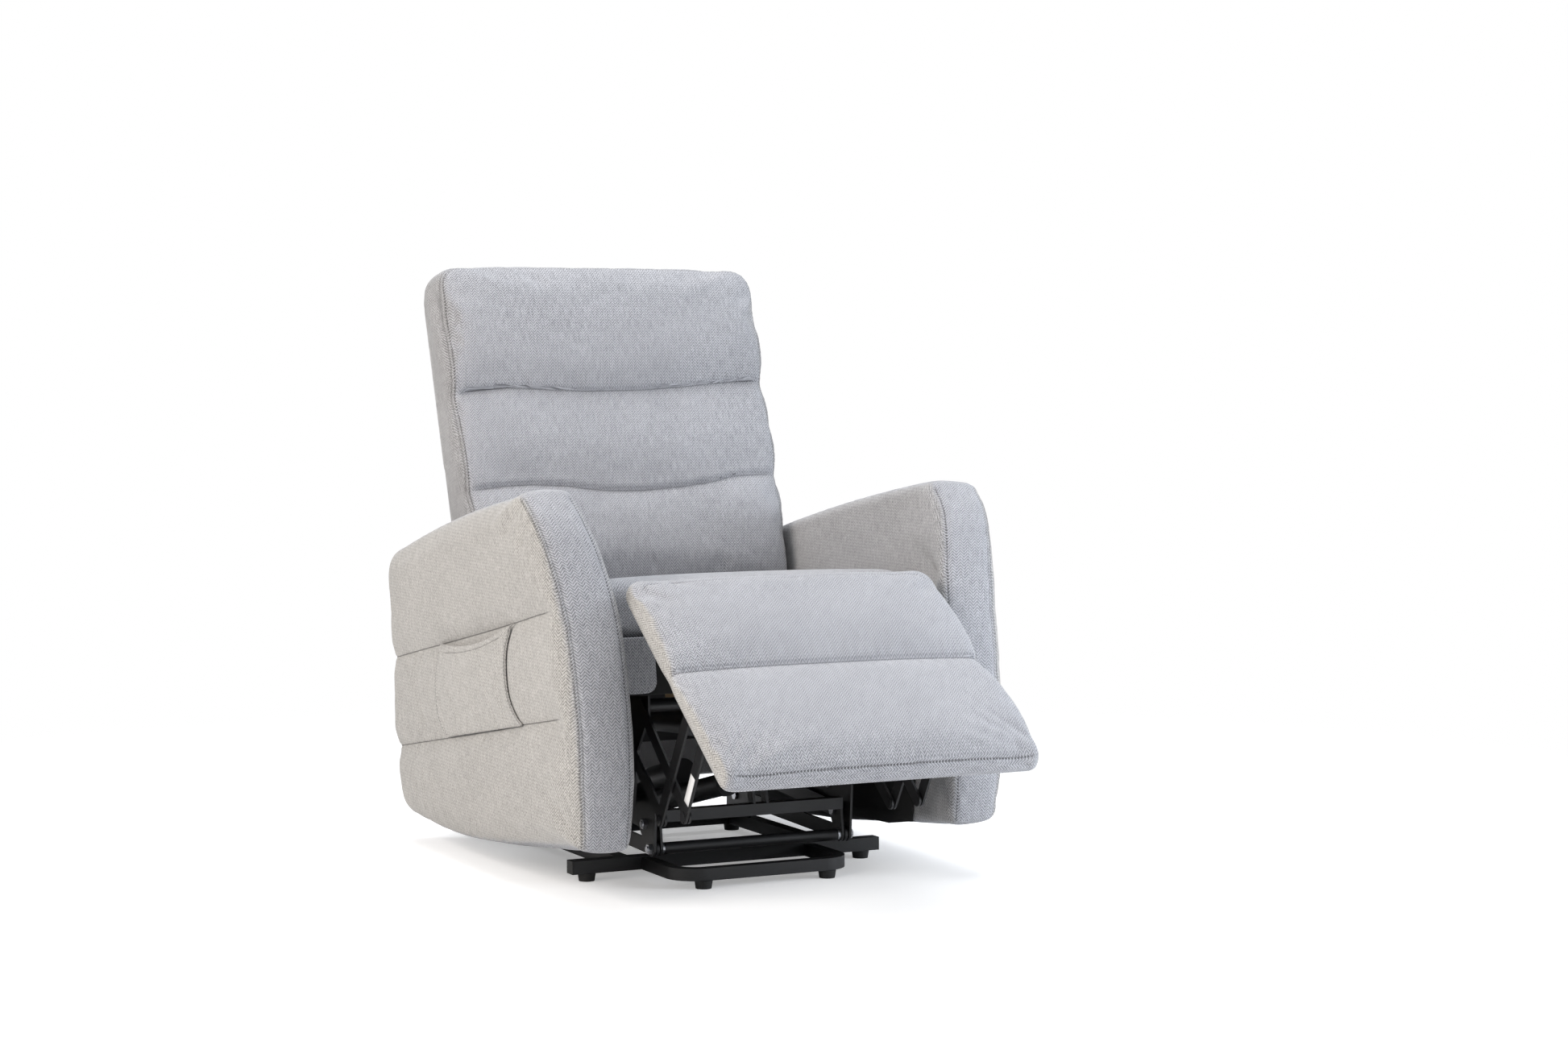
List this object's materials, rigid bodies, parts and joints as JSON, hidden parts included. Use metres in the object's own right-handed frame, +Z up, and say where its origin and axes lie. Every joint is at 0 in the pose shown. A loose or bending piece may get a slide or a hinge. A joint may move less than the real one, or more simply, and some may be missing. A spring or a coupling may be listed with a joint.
{
  "type": "lift recliner chair",
  "caption": "Upholstered lift recliner with leaning arms, channelled back, scissor legrest and a tilting steel lift base.",
  "frame": {"origin": "on the floor, under the middle of the chair's bounding box in the pictured pose", "axes": "+Z up, the sitter faces -Y, +X is to the right for someone who looks at the chair from the front"},
  "size_m": [0.8262, 1.187, 1.0164],
  "materials": {
    "upholstery": "light grey herringbone weave",
    "lining": "black non-woven cloth",
    "timber": "raw plywood",
    "foot_plastic": "black moulded",
    "zinc": "zinc plated",
    "webbing": "black elastic webbing",
    "actuator_case": "black textured housing",
    "rod_steel": "polished rod",
    "black_steel": "satin black powder coat"
  },
  "bodies": {
    "base": {"front_cross_tube": "black_steel", "front_loop": "black_steel", "side_rails": "black_steel", "rear_cross_tube": "black_steel", "tube_end_caps": "foot_plastic", "feet": "foot_plastic", "riser_plates": "black_steel", "riser_pivot_bolts": "zinc"},
    "lower_lift_arms": {"lower_lift_links": "black_steel"},
    "upper_lift_arms": {"upper_lift_links": "black_steel"},
    "chair_frame": {"lift_cross_tube": "black_steel", "hanging_plates": "black_steel", "carrier_plates": "black_steel", "torsion_tube": "black_steel", "carrier_pivot_bolts": "zinc", "plate_spacers": "black_steel", "spacer_bolts": "zinc", "side_plates": "black_steel", "seat_rear_cross_tube": "black_steel", "seat_front_rail": "timber", "seat_side_rails": "timber", "seat_rear_rail": "timber", "seat_front_panels": "upholstery", "seat_straps": "webbing", "seat_cushion": "upholstery", "back_hinge_brackets": "black_steel", "arm_left": "upholstery", "arm_right": "upholstery", "arm_boards": "timber", "arm_bolts": "zinc", "arm_linings": "lining", "side_pocket": "upholstery", "rear_panel": "upholstery"},
    "backrest": {"back_cushion": "upholstery", "back_uprights": "timber", "back_rails": "timber", "outside_back": "upholstery", "back_brackets": "black_steel", "back_bottom_tube": "black_steel", "back_pivot_pins": "zinc"},
    "legrest_drive_links": {"drive_links": "black_steel", "drive_shaft": "black_steel", "legrest_crank": "black_steel"},
    "legrest_long_links": {"long_links": "black_steel"},
    "legrest_front_links": {"front_links": "black_steel"},
    "legrest_rear_links": {"rear_links": "black_steel"},
    "legrest_pad": {"legrest_cushion": "upholstery", "legrest_board": "timber", "legrest_brackets": "black_steel"},
    "lift_actuator_tube": {"lift_actuator_body": "actuator_case"},
    "lift_actuator_rod": {"lift_actuator_rod": "rod_steel"},
    "legrest_actuator_tube": {"legrest_actuator_body": "actuator_case"},
    "legrest_actuator_rod": {"legrest_actuator_rod": "rod_steel"},
    "back_actuator_tube": {"back_actuator_body": "actuator_case"},
    "back_actuator_rod": {"back_actuator_rod": "rod_steel"}
  },
  "joints": [
    {"name": "lift", "type": "hinge", "parent": "base", "child": "lower_lift_arms", "pos_m": [0, 0.2896, 0.072], "axis": [-1, 0, 0], "range_deg": [0, 48]},
    {"name": "lift_carrier", "type": "hinge", "parent": "lower_lift_arms", "child": "chair_frame", "pos_m": [0, -0.119, 0.06], "axis": [-1, 0, 0], "range_deg": [-69.71, 0.4]},
    {"name": "lift_upper_links", "type": "hinge", "parent": "base", "child": "upper_lift_arms", "pos_m": [0, 0.3136, 0.1293], "axis": [-1, 0, 0], "range_deg": [-0.4, 48.26]},
    {"name": "legrest", "type": "hinge", "parent": "chair_frame", "child": "legrest_drive_links", "pos_m": [0, -0.1347, 0.2958], "axis": [-1, 0, 0], "range_deg": [-47.77, 34.12]},
    {"name": "legrest_long", "type": "hinge", "parent": "legrest_drive_links", "child": "legrest_long_links", "pos_m": [0, -0.2603, 0.1863], "axis": [-1, 0, 0], "range_deg": [-39.4, 55]},
    {"name": "legrest_front", "type": "hinge", "parent": "legrest_drive_links", "child": "legrest_front_links", "pos_m": [0, -0.3133, 0.141], "axis": [-1, 0, 0], "range_deg": [-39.4, 55]},
    {"name": "legrest_pad", "type": "hinge", "parent": "legrest_long_links", "child": "legrest_pad", "pos_m": [0, -0.3491, 0.3353], "axis": [-1, 0, 0], "range_deg": [-59.73, 42.77]},
    {"name": "legrest_rear", "type": "hinge", "parent": "chair_frame", "child": "legrest_rear_links", "pos_m": [0, -0.094, 0.2217], "axis": [-1, 0, 0], "range_deg": [-49.23, 35.27]},
    {"name": "backrest", "type": "hinge", "parent": "chair_frame", "child": "backrest", "pos_m": [0, 0.34, 0.372], "axis": [-1, 0, 0], "range_deg": [-12, 38]},
    {"name": "lift_actuator_foot", "type": "hinge", "parent": "base", "child": "lift_actuator_tube", "pos_m": [0.016, 0.344, 0.058], "axis": [-1, 0, 0], "range_deg": [-0.4, 35.67]},
    {"name": "lift_actuator_stroke", "type": "slide", "parent": "lift_actuator_tube", "child": "lift_actuator_rod", "axis": [0, -0.9729, 0.2313], "range_m": [-0.001, 0.08753]},
    {"name": "legrest_actuator_foot", "type": "hinge", "parent": "chair_frame", "child": "legrest_actuator_tube", "pos_m": [-0.07, 0.284, 0.228], "axis": [-1, 0, 0], "range_deg": [-0.422, 0.43]},
    {"name": "legrest_actuator_stroke", "type": "slide", "parent": "legrest_actuator_tube", "child": "legrest_actuator_rod", "axis": [0, -0.9977, 0.0675], "range_m": [-0.03253, 0.02352]},
    {"name": "back_actuator_foot", "type": "hinge", "parent": "chair_frame", "child": "back_actuator_tube", "pos_m": [0.07, 0.324, 0.19], "axis": [-1, 0, 0], "range_deg": [-2.02, 0.91]},
    {"name": "back_actuator_stroke", "type": "slide", "parent": "back_actuator_tube", "child": "back_actuator_rod", "axis": [0, 0.4317, 0.902], "range_m": [-0.0424, 0.01407]}
  ],
  "couplings": [
    {"joint": "lift_carrier", "follows": "lift", "ratio": -1.444},
    {"joint": "lift_upper_links", "follows": "lift", "ratio": 0.997},
    {"joint": "legrest_long", "follows": "legrest", "ratio": -1.1429},
    {"joint": "legrest_front", "follows": "legrest", "ratio": -1.1429},
    {"joint": "legrest_pad", "follows": "legrest", "ratio": 1.2418},
    {"joint": "legrest_rear", "follows": "legrest", "ratio": 1.022},
    {"joint": "lift_actuator_foot", "follows": "lift", "ratio": 0.73482},
    {"joint": "lift_actuator_stroke", "follows": "lift", "m_per_rad": 0.10329},
    {"joint": "legrest_actuator_foot", "follows": "legrest", "ratio": -0.000637},
    {"joint": "legrest_actuator_stroke", "follows": "legrest", "m_per_rad": 0.037815},
    {"joint": "back_actuator_foot", "follows": "backrest", "ratio": -0.042721},
    {"joint": "back_actuator_stroke", "follows": "backrest", "m_per_rad": -0.062419}
  ]
}
